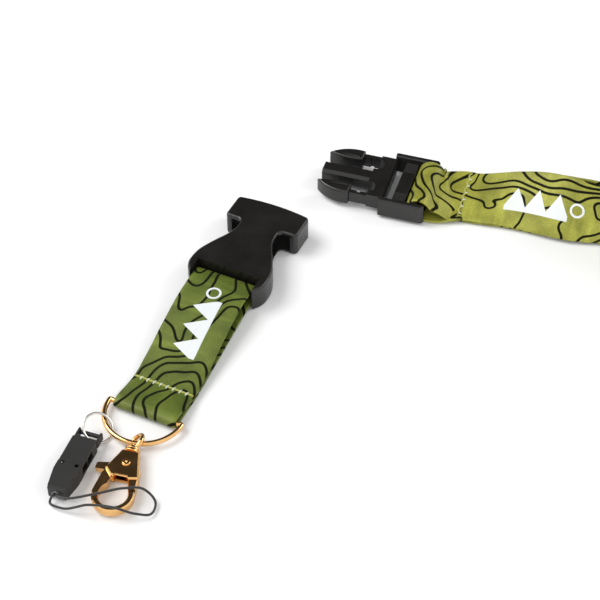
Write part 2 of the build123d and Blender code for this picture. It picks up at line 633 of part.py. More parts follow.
# ---------------------------------------------------------------- nodes
def main():
    nodes = {
        "neck_strap": make_neck_strap(),
        "buckle_webbing": make_buckle_webbing(),
        "neck_stitching": make_neck_stitching(),
        "male_frame": make_male_frame(),
        "latch_arm_left": make_latch_arm(-1),
        "latch_arm_right": make_latch_arm(1),
        "female_housing": place_short(make_female_housing()),
        "short_strap": place_short(make_short_strap()),
        "short_strap_stitching": place_short(make_short_stitching()),
        "d_ring": place_short(make_d_ring()),
        "swivel_bail": place_claw(make_swivel_bail()),
        "swivel_pin": place_claw(make_swivel_pin()),
        "claw_body": place_claw(make_claw_body()),
        "gate_rivet": place_claw(make_gate_rivet()),
        "gate_lever": place_claw(make_gate_lever()),
        "gate_spring": place_claw(make_gate_spring()),
        "jump_ring": place_short(make_jump_ring()),
        "mini_socket": place_mini(make_mini_socket()),
        "mini_plug": place_mini(make_mini_plug()),
        "mini_latch_left": place_mini(make_mini_latch(-1)),
        "mini_latch_right": place_mini(make_mini_latch(1)),
        "cord_crimp": place_mini(make_cord_crimp()),
        "cord_loop": place_short(make_cord_loop()),
    }
    os.makedirs("parts", exist_ok=True)
    for name, shape in nodes.items():
        export_step(shape, f"parts/{name}.step")


main()
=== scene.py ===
import json
import math

import bmesh
import bpy
import numpy as np
from mathutils import Matrix, Vector, noise


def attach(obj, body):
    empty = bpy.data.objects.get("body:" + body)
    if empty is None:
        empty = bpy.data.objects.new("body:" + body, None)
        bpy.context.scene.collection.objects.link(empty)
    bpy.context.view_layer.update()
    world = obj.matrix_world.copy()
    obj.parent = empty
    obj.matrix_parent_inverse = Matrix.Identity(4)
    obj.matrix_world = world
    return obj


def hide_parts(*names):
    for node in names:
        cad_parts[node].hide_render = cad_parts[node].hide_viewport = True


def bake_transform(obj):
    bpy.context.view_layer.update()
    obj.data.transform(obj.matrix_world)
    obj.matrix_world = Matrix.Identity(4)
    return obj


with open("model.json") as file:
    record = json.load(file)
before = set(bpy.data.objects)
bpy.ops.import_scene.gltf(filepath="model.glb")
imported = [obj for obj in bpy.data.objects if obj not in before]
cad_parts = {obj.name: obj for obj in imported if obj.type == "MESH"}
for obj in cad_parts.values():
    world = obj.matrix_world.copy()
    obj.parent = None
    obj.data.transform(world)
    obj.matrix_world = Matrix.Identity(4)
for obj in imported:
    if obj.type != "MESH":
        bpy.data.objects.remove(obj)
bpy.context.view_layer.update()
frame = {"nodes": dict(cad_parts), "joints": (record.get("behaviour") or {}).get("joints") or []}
JOINTS = {joint["name"]: joint for joint in frame["joints"]}

# Looks of a neck lanyard: printed satin webbing, sewn seams, moulded buckle, plated hardware and thin cord.
# Outlines are worked out in millimetres and scaled to metres as each mesh is made.
MM = 0.001
WEB_WIDTH = 25.0
WEB_THICK = 0.9
LAYER_GAP = 0.3
LAYER_STEP = (WEB_THICK + LAYER_GAP) / 2
SEAM_RISE = WEB_THICK + LAYER_GAP / 2
WEB_STEP = 0.7
SECTION_POINTS = 15
RIPPLE = 0.14
RIPPLE_LENGTH = 8.0
BACK_PRINT = 60.0

# Neck loop: twists from nearly flat at its seam to on edge, runs straight, flares, and closes in an arc
NECK_START = 34.2
NECK_STRAIGHT = 54.0
TWIST_LEAD = 4.0
TWIST_LENGTH = 78.0
FLARE_Y = 0.5
FLARE_R = 105.0
FLARE_TURN = 35.0
LEG = 102.0
OPENING = 1.3
OPENS_AFTER = 0.3
STRAIGHT_STEPS = 9
FLARE_STEPS = 5
FAR_STEPS = 12
FLOOR_GAP = 0.15

# How far the neck loop's middle line lies to +Y: a little more just past the seam, none further on
SEAM_Y = 3.9
OUT_STEP = 0.7
OUT_LENGTH = 12.0
BACK_FROM = 50.0
BACK_LENGTH = 30.0

# Where the neck loop is sewn, and its loop round the plug's bar
FLATTEST_TILT = 9.0
NECK_SEAM_X = 31.7
BAR_FLAT_END = 22.0
LOW_LAYER = 0.75
HIGH_LAYER = 4.0
BAR_LOOP_R = 5.0
NECK_SEAM_INSET = 1.6
NECK_STITCHES = 13
ZIGZAG = 0.95

# Short strap: sewn near the ring, in the buckled frame
SEAM_X = -96.5
LOWER_AT_SEAM = 1.55 - LAYER_STEP
UPPER_AT_SEAM = 1.7 + LAYER_STEP
DRIFT = -3.0
DRIFT_FROM = -48.0
DRIFT_LENGTH = 55.0
SOCKET_FOLD_R = 2.57
RING_FOLD_R = 1.52
SHORT_SEAM_INSET = 1.2
SHORT_STITCHES = 9

# Where the printed device starts on each strap
NECK_EMBLEM_X = 48.0
SHORT_EMBLEM_X = -82.0

# Colours, as linear red, green and blue
PRINT_INK = (0.003, 0.003, 0.0025)
EMBLEM_WHITE = (0.70, 0.73, 0.76)

# Thread and cord, and the pale short threads painted as glints at the needle holes
THREAD_R = 0.36
PAINTED_GLINT_R = 0.24
STITCH_SINK = 0.15
ZIGZAG_RISE = 0.42
STRAIGHT_RISE = 0.38
PAINTED_GLINT_RISE = 0.5
STITCH_STEPS = 6
CORD_R = 0.45
CORD_STEP = 0.4
CORD_SIDES = 12
OFF_THREAD = (0.3, 0.2, 0.93)  # a direction that no thread or cord starts out in

# Floor
FLOOR_HALF = 8000.0
FLOOR_Z = -0.05

# Lights, in metres, and a studio that is white but for one dark side
LIGHTS_AIM = (0, -0.05, 0)
KEY_AT = (-0.75, -0.1, 0.85)
RIM_AT = (0.75, 0.45, 0.6)
STUDIO_STRENGTH = 1.12
WHITE = (1.0, 1.0, 1.0, 1)
DARK = (0.05, 0.05, 0.052, 1)
DARKENS_BETWEEN = (0.45, 0.88)

# Camera, in metres: it looks down at 45 degrees on the buckle and the short strap
CAMERA_AT = Vector((0.1233, -0.5069, 0.4588))
CAMERA_LOOK = Vector((-0.0147, -0.0693, 0.0))
CAMERA_LENS = 102.0
SENSOR = 36.0
TO_CAMERA = CAMERA_AT - CAMERA_LOOK
MIRRORED = Vector((-TO_CAMERA.x, -TO_CAMERA.y, TO_CAMERA.z))


# ---------------------------------------------------------------- frames and curves
def joint_place(name):
    """Where a joint of the frame sits, in millimetres."""
    return Vector(JOINTS[name]["pos_m"]) / MM


SWING_TURN = math.radians(JOINTS["short_half_swing"]["range_deg"][1])
SWING_POLE = joint_place("short_half_swing")
INSERT = Vector((JOINTS["buckle_insert"]["range_m"][1] / MM, 0, 0))


def lay_short(point):
    """From the detachable half's buckled place to where it lies open."""
    return Matrix.Rotation(SWING_TURN, 3, "Z") @ (Vector(point) - INSERT - SWING_POLE) + SWING_POLE


def buckled(point):
    """From where the detachable half lies open to its buckled place."""
    return Matrix.Rotation(-SWING_TURN, 3, "Z") @ (Vector(point) - SWING_POLE) + SWING_POLE + INSERT


def turn_short(direction):
    """From a direction in the buckled place to the same direction where the half lies open."""
    return Matrix.Rotation(SWING_TURN, 3, "Z") @ Vector(direction)


def smooth(t):
    """Ease from 0 at t = 0 to 1 at t = 1."""
    t = min(max(t, 0.0), 1.0)
    return t * t * (3 - 2 * t)


def smooth_curve(points, step, closed=False):
    """Rows every step along a smooth curve through the given rows, which start with a place."""
    rows = np.array(points, float)
    if closed:
        rows = np.vstack([rows[-2], rows, rows[1]])
    spans = np.linalg.norm(np.diff(rows[:, :3], axis=0), axis=1)
    knots = np.concatenate([[0], np.cumsum(spans)])
    slopes = np.gradient(rows, knots, axis=0)
    first, last = (knots[1], knots[-2]) if closed else (knots[0], knots[-1])
    at = np.linspace(first, last, max(2, round((last - first) / step) + 1))
    i = np.clip(np.searchsorted(knots, at, side="right") - 1, 0, len(spans) - 1)
    span = spans[i][:, None]
    t = (at - knots[i])[:, None] / span
    bend = t * (1 - t) * span
    ease = t * t * (3 - 2 * t)
    return rows[i] * (1 - ease) + rows[i + 1] * ease + bend * ((1 - t) * slopes[i] - t * slopes[i + 1])


def unit(rows):
    """Each row at length 1."""
    return rows / np.linalg.norm(rows, axis=1)[:, None]


# ---------------------------------------------------------------- strap paths: place and width direction
def neck_tilt(x):
    """Angle of the webbing's width above the floor, in degrees."""
    return FLATTEST_TILT + (90 - FLATTEST_TILT) * smooth((x - NECK_START + TWIST_LEAD) / TWIST_LENGTH)


TILT_AT_SEAM = neck_tilt(NECK_START)


def neck_middle(x):
    """How far the webbing's middle line lies to +Y, before the loop flares."""
    out = OUT_STEP * smooth((x - NECK_START) / OUT_LENGTH)
    back = (SEAM_Y + OUT_STEP) * smooth((x - BACK_FROM) / BACK_LENGTH)
    return SEAM_Y + out - back


def neck_height(tilt):
    """Height of the webbing's middle line when its lower edge rests on the floor."""
    a = math.radians(tilt)
    return WEB_WIDTH / 2 * math.sin(a) + SEAM_RISE * math.cos(a) + FLOOR_GAP


def neck_row(x, y, heading, tilt, offset):
    """One row of the neck loop; offset moves it from the middle line towards its lower or back layer."""
    a = math.radians(tilt)
    h = math.radians(heading)
    normal = Vector((-math.sin(h), math.cos(h), 0))
    up = Vector((0, 0, 1))
    width = normal * math.cos(a) + up * math.sin(a)
    face = normal * math.sin(a) - up * math.cos(a)
    place = Vector((x, y, neck_height(tilt))) + face * offset
    return [*place, *width]


def neck_branch(side):
    """Rows of the front (side -1) or back (side +1) branch, from the seam to the loop's far end."""
    rows = []
    for i in range(STRAIGHT_STEPS + 1):
        share = i / STRAIGHT_STEPS
        x = NECK_START + NECK_STRAIGHT * share
        opening = OPENING * smooth((share - OPENS_AFTER) / (1 - OPENS_AFTER))
        rows.append(neck_row(x, neck_middle(x), 0, neck_tilt(x), side * (LAYER_STEP + opening)))
    flare_x = NECK_START + NECK_STRAIGHT
    for i in range(1, FLARE_STEPS + 1):
        turn = FLARE_TURN * i / FLARE_STEPS
        a = math.radians(turn)
        x = flare_x + FLARE_R * math.sin(a)
        y = FLARE_Y + FLARE_R * (1 - math.cos(a))
        rows.append(neck_row(x, side * y, side * turn, neck_tilt(x), side * (LAYER_STEP + OPENING)))
    a = math.radians(FLARE_TURN)
    leg_x = flare_x + FLARE_R * math.sin(a) + LEG * math.cos(a)
    leg_y = FLARE_Y + FLARE_R * (1 - math.cos(a)) + LEG * math.sin(a) + LAYER_STEP + OPENING
    bend_r = leg_y / math.cos(a)
    centre_x = leg_x + bend_r * math.sin(a)
    for i in range(FAR_STEPS + 1):
        b = a - (a + math.pi / 2) * i / FAR_STEPS
        x = centre_x - bend_r * math.sin(b)
        rows.append(neck_row(x, side * bend_r * math.cos(b), side * math.degrees(b), 90, 0))
    return rows


def bar_row(x, z, layer):
    """One row of the webbing round the plug's bar; towards the seam it takes up the neck loop's tilt."""
    share = smooth((x - BAR_FLAT_END) / (NECK_SEAM_X - BAR_FLAT_END))
    tilt = math.radians(TILT_AT_SEAM * share)
    lean = LAYER_STEP * layer * share
    y = SEAM_Y * share - lean * math.sin(tilt)
    height = z * (1 - share) + share * (neck_height(TILT_AT_SEAM) + lean * math.cos(tilt))
    return [x, y, height, 0, math.cos(tilt), math.sin(tilt)]


def neck_rows():
    """The whole closed strap: back branch, round the plug's bar, front branch."""
    bar = joint_place("plug_lift")
    seam_end = NECK_START - 0.3
    low = [bar_row(x, LOW_LAYER, -1) for x in (seam_end, 31, 28, 25, BAR_FLAT_END, 18, 14.8)]
    turn_in = [bar_row(12.6, 1.5, 0), bar_row(11.4, 3.6, 0)]
    over = []
    for degrees in range(160, 23, -17):
        a = math.radians(degrees)
        over.append(bar_row(bar.x + BAR_LOOP_R * math.cos(a), bar.z + BAR_LOOP_R * math.sin(a), 1))
    down = [bar_row(23.5, 6.4, 1), bar_row(27, 4.6, 1)]
    top = [bar_row(x, HIGH_LAYER, 1) for x in (29.5, 31, seam_end)]
    return [*reversed(neck_branch(1)), *low, *turn_in, *over, *down, *top, *neck_branch(-1)]


def strap_drift(x):
    """How far the short strap drifts sideways on its way to the ring."""
    return DRIFT * smooth((DRIFT_FROM - x) / DRIFT_LENGTH)


def short_rows():
    """The short strap, open: from its seam round the ring, along the top, round the bar and back."""
    fold = buckled(joint_place("ring_lift"))
    bar = buckled(joint_place("strap_lift"))

    def row(x, z):
        return (x, strap_drift(x), z)

    def half_turn(centre, radius, start):
        angles = [math.radians(start - i * 22.5) for i in range(9)]
        return [row(centre.x + radius * math.cos(a), centre.z + radius * math.sin(a)) for a in angles]

    places = [row(SEAM_X + 3, LOWER_AT_SEAM), row(SEAM_X, LOWER_AT_SEAM), row(SEAM_X - 6, 1.0)]
    places += half_turn(fold, RING_FOLD_R, 270)
    places += [row(SEAM_X - 6, 3.1), row(SEAM_X, UPPER_AT_SEAM)]
    places += [row(-86, 3.3), row(-70, 5.9), row(-52, 8.0)]
    places += half_turn(bar, SOCKET_FOLD_R, 90)
    places += [row(-52, 1.6), row(-62, 0.95), row(SEAM_X + 3.5, LOWER_AT_SEAM)]
    width = turn_short((0, 1, 0))
    return [[*lay_short(place), *width] for place in places]


# ---------------------------------------------------------------- meshes
def coat(piece, material):
    """Give a piece one material in place of any it has."""
    piece.data.materials.clear()
    piece.data.materials.append(material)


def mesh_piece(name, points, faces, corner_uv):
    """A smooth-shaded mesh object; points are in millimetres, corner_uv has one (u, v) per face corner."""
    mesh = bpy.data.meshes.new(name)
    mesh.from_pydata([Vector(point) * MM for point in points], [], faces)
    layer = mesh.uv_layers.new(name="UVMap")
    layer.data.foreach_set("uv", np.array(corner_uv, np.float32).ravel())
    shape = bmesh.new()
    shape.from_mesh(mesh)
    bmesh.ops.recalc_face_normals(shape, faces=shape.faces)
    shape.to_mesh(mesh)
    shape.free()
    mesh.polygons.foreach_set("use_smooth", [True] * len(mesh.polygons))
    piece = bpy.data.objects.new(name, mesh)
    bpy.context.scene.collection.objects.link(piece)
    return piece


def web_section():
    """Outline of the webbing cut across, as (across, out): flat faces between round edges."""
    edge = WEB_THICK / 2
    half = WEB_WIDTH / 2 - edge
    flat = np.linspace(-half, half, SECTION_POINTS)
    bends = [math.radians(a) for a in (50, 0, -50)]
    outline = [(across, edge) for across in flat]
    outline += [(half + edge * math.cos(a), edge * math.sin(a)) for a in bends]
    outline += [(-across, -edge) for across in flat]
    outline += [(-half - edge * math.cos(a), -edge * math.sin(a)) for a in bends]
    return outline


def strap_piece(name, rows, closed):
    """Webbing along a path, and the places of its middle line.

    Its UV map is in millimetres, along and across, and the inner face is offset across.
    """
    path = smooth_curve(rows, WEB_STEP, closed)
    if closed:
        path = path[:-1]
    places = path[:, :3]
    if closed:
        travel = unit(np.roll(places, -1, axis=0) - np.roll(places, 1, axis=0))
    else:
        travel = unit(np.gradient(places, axis=0))
    widths = path[:, 3:]
    widths = unit(widths - travel * (widths * travel).sum(1)[:, None])
    outward = np.cross(travel, widths)
    section = web_section()
    count = len(section)
    points = []
    for i, place in enumerate(places):
        for across, out in section:
            ripple = RIPPLE * noise.noise(Vector((i * WEB_STEP / RIPPLE_LENGTH, across / WEB_WIDTH, 0)))
            points.append(place + widths[i] * across + outward[i] * (out + ripple))
    faces = []
    corner_uv = []
    rings = len(places) if closed else len(places) - 1
    for i in range(rings):
        after = (i + 1) % len(places)
        u0 = i * WEB_STEP
        u1 = u0 + WEB_STEP
        for j in range(count):
            k = (j + 1) % count
            side = 0.0 if section[j][1] + section[k][1] > 0 else BACK_PRINT
            faces.append((i * count + j, i * count + k, after * count + k, after * count + j))
            v0 = section[j][0] + side
            v1 = section[k][0] + side
            corner_uv += [(u0, v0), (u0, v1), (u1, v1), (u1, v0)]
    if not closed:
        for i in (0, len(places) - 1):
            faces.append([i * count + j for j in range(count)])
            corner_uv += [(i * WEB_STEP, across) for across, _ in section]
    return mesh_piece(name, points, faces, corner_uv), places


def along_strap(places, point):
    """The U coordinate of the strap's UV map nearest to a point."""
    return int(np.argmin(np.linalg.norm(places - np.array(point), axis=1))) * WEB_STEP


def tubes_piece(name, runs, radius, material, sides=8):
    """Round threads along runs of points, in one mesh; its UV map is millimetres along and turns round."""
    points = []
    faces = []
    corner_uv = []
    for run in runs:
        run = np.array(run, float)
        travel = unit(np.gradient(run, axis=0))
        across = np.cross(travel[0], OFF_THREAD)
        start = len(points)
        length = np.concatenate([[0], np.cumsum(np.linalg.norm(np.diff(run, axis=0), axis=1))])
        for place, along in zip(run, travel):
            across = across - along * np.dot(across, along)
            across /= np.linalg.norm(across)
            other = np.cross(along, across)
            for j in range(sides):
                a = 2 * math.pi * j / sides
                points.append(place + radius * (across * math.cos(a) + other * math.sin(a)))
        for i in range(len(run) - 1):
            for j in range(sides):
                k = (j + 1) % sides
                ring = start + i * sides
                faces.append((ring + j, ring + k, ring + sides + k, ring + sides + j))
                v0 = j / sides
                v1 = (j + 1) / sides
                corner_uv += [(length[i], v0), (length[i], v1), (length[i + 1], v1), (length[i + 1], v0)]
        for ring in (start, start + (len(run) - 1) * sides):
            faces.append([ring + j for j in range(sides)])
            corner_uv += [(0, 0)] * sides
    piece = mesh_piece(name, points, faces, corner_uv)
    coat(piece, material)
    return piece


# ---------------------------------------------------------------- materials
class Shader:
    """Shorthand for building one material's nodes."""

    def __init__(self, name):
        self.material = bpy.data.materials.new(name)
        self.material.use_nodes = True
        self.nodes = self.material.node_tree.nodes
        self.links = self.material.node_tree.links
        self.surface = self.nodes["Principled BSDF"]

    def set(self, socket, value):
        """Fill a socket with a number, a colour or another node's output."""
        if isinstance(value, bpy.types.NodeSocket):
            self.links.new(value, socket)
        elif isinstance(value, tuple) and len(value) == 3 and len(socket.default_value) == 4:
            socket.default_value = (*value, 1)
        else:
            socket.default_value = value

    def math(self, operation, *values):
        node = self.nodes.new("ShaderNodeMath")
        node.operation = operation
        for socket, value in zip(node.inputs, values):
            self.set(socket, value)
        return node.outputs[0]

    def length(self, x, y):
        """The length of the flat vector (x, y)."""
        squares = self.math("ADD", self.math("POWER", x, 2.0), self.math("POWER", y, 2.0))
        return self.math("SQRT", squares)

    def combine(self, x, y, z=0.0):
        node = self.nodes.new("ShaderNodeCombineXYZ")
        for socket, value in zip(node.inputs, (x, y, z)):
            self.set(socket, value)
        return node.outputs[0]

    def uv(self):
        """The UV map's two numbers."""
        coordinates = self.nodes.new("ShaderNodeUVMap")
        split = self.nodes.new("ShaderNodeSeparateXYZ")
        self.links.new(coordinates.outputs[0], split.inputs[0])
        return split.outputs[0], split.outputs[1]

    def tangent(self):
        """The direction of the UV map's U, for satin that shines across its length."""
        node = self.nodes.new("ShaderNodeTangent")
        node.direction_type = "UV_MAP"
        return node.outputs[0]

    def place(self):
        return self.nodes.new("ShaderNodeTexCoord").outputs["Object"]

    def noise(self, vector, scale, detail=2.0, roughness=0.5):
        node = self.nodes.new("ShaderNodeTexNoise")
        self.set(node.inputs["Vector"], vector)
        self.set(node.inputs["Scale"], scale)
        self.set(node.inputs["Detail"], detail)
        self.set(node.inputs["Roughness"], roughness)
        return node.outputs[0]

    def mix(self, factor, first, second):
        node = self.nodes.new("ShaderNodeMix")
        node.data_type = "RGBA"
        self.set(node.inputs[0], factor)
        self.set(node.inputs[6], first)
        self.set(node.inputs[7], second)
        return node.outputs[2]

    def spread(self, value, low, high):
        """Noise, which mostly lies between 0.3 and 0.7, moved to run from low to high."""
        node = self.nodes.new("ShaderNodeMapRange")
        for socket, number in zip(node.inputs, (value, 0.3, 0.7, low, high)):
            self.set(socket, number)
        return node.outputs[0]

    def step(self, value, low, high):
        """0 below low, 1 above high, smooth between."""
        node = self.nodes.new("ShaderNodeMapRange")
        node.interpolation_type = "SMOOTHSTEP"
        for socket, number in zip(node.inputs, (value, low, high, 0.0, 1.0)):
            self.set(socket, number)
        return node.outputs[0]

    def bump(self, height, distance, strength=1.0):
        node = self.nodes.new("ShaderNodeBump")
        self.set(node.inputs["Height"], height)
        self.set(node.inputs["Distance"], distance)
        self.set(node.inputs["Strength"], strength)
        self.links.new(node.outputs[0], self.surface.inputs["Normal"])

    def finish(self, **values):
        """Fill the surface's inputs, named with underscores for spaces, and return the material."""
        for name, value in values.items():
            self.set(self.surface.inputs[name.replace("_", " ")], value)
        return self.material


def contour_lines(shader, u, v, seed):
    """Map-like lines of one even width, where a smooth height field crosses evenly spaced levels."""
    levels = 11.0
    hill_scale = (0.034, 0.048)
    slant = (0.085, 0.06)
    reach = 0.25
    least_slope = 0.03
    line_width = 1.05

    def height(du, dv):
        along = shader.math("ADD", u, du)
        across = shader.math("ADD", v, dv)
        hill_u = shader.math("MULTIPLY", along, hill_scale[0])
        hill_v = shader.math("MULTIPLY", across, hill_scale[1])
        field = shader.noise(shader.combine(hill_u, hill_v, seed), 1.0, 1.2, 0.4)
        slant_u = shader.math("MULTIPLY", along, slant[0])
        slant_v = shader.math("MULTIPLY", across, slant[1])
        hills = shader.math("MULTIPLY", field, levels)
        return shader.math("ADD", hills, shader.math("ADD", slant_u, slant_v))

    here = height(0.0, 0.0)
    slope_u = shader.math("SUBTRACT", height(reach, 0.0), here)
    slope_v = shader.math("SUBTRACT", height(0.0, reach), here)
    slope = shader.math("DIVIDE", shader.length(slope_u, slope_v), reach)
    off_level = shader.math("ABSOLUTE", shader.math("SUBTRACT", shader.math("FRACT", here), 0.5))
    distance = shader.math("DIVIDE", off_level, shader.math("MAXIMUM", slope, least_slope))
    return shader.math("SUBTRACT", 1.0, shader.step(distance, line_width * 0.4, line_width * 0.6))


def emblem(shader, u, v, start):
    """A plain device: a row of three solid peaks on a bar from start on, with a small ring after them."""
    half_base = 4.6
    slope = 1.75
    base = -5.2
    bar = 2.0
    length = 6 * half_base
    ring_at = length + 3.4
    ring_r = 2.5
    ring_line = 0.45
    along = shader.math("SUBTRACT", u, start)
    height = shader.math("MULTIPLY_ADD", shader.math("PINGPONG", along, half_base), slope, base + bar)
    above = shader.math("GREATER_THAN", v, base)
    peaks = shader.math("MULTIPLY", shader.math("LESS_THAN", v, height), above)
    begun = shader.math("GREATER_THAN", along, 0.0)
    inside = shader.math("MULTIPLY", begun, shader.math("LESS_THAN", along, length))
    from_middle = shader.length(shader.math("SUBTRACT", along, ring_at), v)
    from_ring = shader.math("ABSOLUTE", shader.math("SUBTRACT", from_middle, ring_r))
    ring = shader.math("LESS_THAN", from_ring, ring_line)
    return shader.math("MAXIMUM", shader.math("MULTIPLY", peaks, inside), ring)


def cloth_colour(shader, u, v, dark, light, grain):
    """Green yarn: slow clouds, bands of painted sheen across the strap, pale grain and dark flecks."""
    vector = shader.combine(u, v)
    shine = tuple(1.45 * value for value in light)
    shade = tuple(0.35 * value for value in dark)
    clouds = shader.spread(shader.noise(vector, 0.11), 0.0, 1.0)
    # painted highlight: bands along the strap mix in a paler green (shine) where the satin would catch the
    # light
    band_u = shader.math("MULTIPLY", u, 0.16)
    band_v = shader.math("MULTIPLY", v, 0.02)
    painted_sheen_bands = shader.step(shader.noise(shader.combine(band_u, band_v), 1.0), 0.5, 0.75)
    flecks = shader.spread(shader.noise(vector, 1.6, 2.0, 0.8), 0.0, 0.55)
    cloth = shader.mix(clouds, dark, light)
    cloth = shader.mix(painted_sheen_bands, cloth, shine)
    cloth = shader.mix(shader.math("MULTIPLY", grain, 0.4), cloth, light)
    return shader.mix(flecks, cloth, shade)


def weave_height(shader, u, v):
    """Satin weave: fine slanting twill and the weft's rows, both in radians per millimetre."""
    slanting = shader.math("ADD", u, shader.math("MULTIPLY", v, 0.7))
    twill = shader.math("SINE", shader.math("MULTIPLY", slanting, 8.0))
    weft = shader.math("SINE", shader.math("MULTIPLY", v, 11.0))
    return shader.math("ADD", shader.math("MULTIPLY", twill, 0.5), shader.math("MULTIPLY", weft, 0.5))


def webbing_material(name, dark, light, seed, emblem_start):
    """Printed satin webbing: black contour lines, and a white device from one U coordinate on."""
    shader = Shader(name)
    u, v = shader.uv()
    grain = shader.spread(shader.noise(shader.combine(u, v), 2.6, 3.0, 0.7), 0.0, 1.0)
    lines = contour_lines(shader, u, v, seed)
    printed = shader.mix(lines, cloth_colour(shader, u, v, dark, light, grain), PRINT_INK)
    bare = shader.math("SUBTRACT", 1.0, shader.math("MULTIPLY", lines, 0.85))
    relief = shader.math("ADD", weave_height(shader, u, v), shader.math("MULTIPLY", grain, 1.5))
    shader.bump(relief, 0.00006, 0.6)
    return shader.finish(
        Base_Color=shader.mix(emblem(shader, u, v, emblem_start), printed, EMBLEM_WHITE),
        Roughness=shader.math("ADD", 0.33, shader.math("MULTIPLY", lines, 0.2)),
        Anisotropic=0.75,
        Tangent=shader.tangent(),
        Specular_IOR_Level=shader.math("MULTIPLY", bare, 0.8),
        Specular_Tint=(1.0, 1.0, 0.5),
        Sheen_Weight=shader.math("MULTIPLY", bare, 0.06),
        Sheen_Roughness=0.35,
        Sheen_Tint=(0.9, 0.95, 0.4),
    )


def plastic_material(name, roughness, pit_scale):
    """Moulded black plastic: fine spark texture and faint cloudiness."""
    shader = Shader(name)
    place = shader.place()
    cloud = shader.noise(place, 90.0, 3.0)
    pits = shader.noise(place, pit_scale, 3.0, 0.65)
    shader.bump(pits, 0.00005, 0.7)
    return shader.finish(
        Base_Color=shader.mix(cloud, (0.006, 0.0055, 0.005), (0.013, 0.012, 0.011)),
        Roughness=shader.spread(cloud, roughness - 0.06, roughness + 0.08),
        Specular_IOR_Level=0.5,
    )


def metal_material(name, dark, light, roughness):
    """Plated metal with faint polishing waves and small differences in shine."""
    shader = Shader(name)
    place = shader.place()
    cloud = shader.noise(place, 160.0, 3.0)
    waves = shader.noise(place, 420.0, 2.0)
    shader.bump(waves, 0.00004, 0.35)
    return shader.finish(
        Base_Color=shader.mix(cloud, dark, light),
        Metallic=1.0,
        Roughness=shader.spread(cloud, roughness, roughness + 0.1),
    )


def thread_material(name, dark, light, twist):
    """Spun thread or braided cord: plies that wind round it, with painted shade darkening the grooves
    between them.
    """
    shader = Shader(name)
    u, v = shader.uv()
    winding = shader.math("ADD", shader.math("MULTIPLY", u, twist), shader.math("MULTIPLY", v, 4 * math.pi))
    plies = shader.math("ABSOLUTE", shader.math("SINE", winding))
    fuzz = shader.noise(shader.place(), 3000.0, 2.0)
    shader.bump(shader.math("ADD", plies, fuzz), 0.00008, 0.8)
    # painted shade: colour is darker in the grooves between plies and lighter on their crests, with random
    # tone from fuzz
    return shader.finish(
        Base_Color=shader.mix(shader.math("MULTIPLY", plies, fuzz), dark, light),
        Roughness=shader.spread(fuzz, 0.5, 0.75),
        Sheen_Weight=0.3,
    )


def floor_material():
    """Plain matt white, hardly uneven."""
    shader = Shader("pale_floor")
    colour = shader.mix(shader.noise(shader.place(), 6.0), (0.86, 0.86, 0.86), (0.88, 0.88, 0.88))
    return shader.finish(Base_Color=colour, Roughness=0.9)


# ---------------------------------------------------------------- pieces
def make_neck_webbing():
    """The neck loop with its loop round the plug's bar."""
    piece, places = strap_piece("neck_webbing", neck_rows(), closed=True)
    x = NECK_EMBLEM_X
    front = neck_row(x, neck_middle(x), 0, neck_tilt(x), -LAYER_STEP)[:3]
    start = along_strap(places, front)
    coat(piece, webbing_material("neck_webbing", (0.165, 0.17, 0.014), (0.44, 0.44, 0.065), 3.7, start))
    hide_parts("neck_strap", "buckle_webbing")
    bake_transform(piece)


def make_short_webbing():
    """The short strap, doubled between the socket's bar and the ring."""
    piece, places = strap_piece("short_webbing", short_rows(), closed=False)
    top = lay_short((SHORT_EMBLEM_X, strap_drift(SHORT_EMBLEM_X), 4.0))
    start = along_strap(places, top)
    coat(piece, webbing_material("short_webbing", (0.040, 0.070, 0.005), (0.14, 0.19, 0.024), 11.3, start))
    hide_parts("short_strap")
    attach(piece, "short_strap")


def stitch(start, end, outward, rise):
    """One stitch: it leaves the cloth, arches over it and goes back in."""
    run = []
    for i in range(STITCH_STEPS + 1):
        t = i / STITCH_STEPS
        lift = rise * math.sin(math.pi * t) - STITCH_SINK
        run.append(Vector(start).lerp(Vector(end), t) + outward * lift)
    return run


def make_neck_seam(thread, painted_glint_material):
    """Zigzag seam across the doubled neck strap, on both faces, with painted glints at the needle holes:
    short pale threads standing in for highlights.
    """
    tilt = math.radians(TILT_AT_SEAM)
    middle = Vector((NECK_SEAM_X, SEAM_Y, neck_height(TILT_AT_SEAM)))
    across = Vector((0, math.cos(tilt), math.sin(tilt)))
    up = Vector((0, -math.sin(tilt), math.cos(tilt)))
    along = Vector((ZIGZAG, 0, 0))
    pitch = (WEB_WIDTH - NECK_SEAM_INSET) / NECK_STITCHES
    stitches = []
    glints = []
    for layer in (-1, 1):
        row = middle + up * layer * SEAM_RISE
        holes = []
        for i in range(NECK_STITCHES + 1):
            aside = along * (0.5 if i % 2 else -0.5)
            holes.append(row + across * (i - NECK_STITCHES / 2) * pitch + aside)
        for first, second in zip(holes, holes[1:]):
            stitches.append(stitch(first, second, up * layer, ZIGZAG_RISE))
        for hole in holes[1:-1:2]:
            end = hole + along * 0.7 + across * 0.3
            glints.append(stitch(hole - along * 0.55, end, up * layer, PAINTED_GLINT_RISE))
    seam = tubes_piece("neck_seam", stitches, THREAD_R, thread)
    pale = tubes_piece("neck_seam_painted_glints", glints, PAINTED_GLINT_R, painted_glint_material)
    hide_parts("neck_stitching")
    for piece in (seam, pale):
        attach(piece, "strap_end")


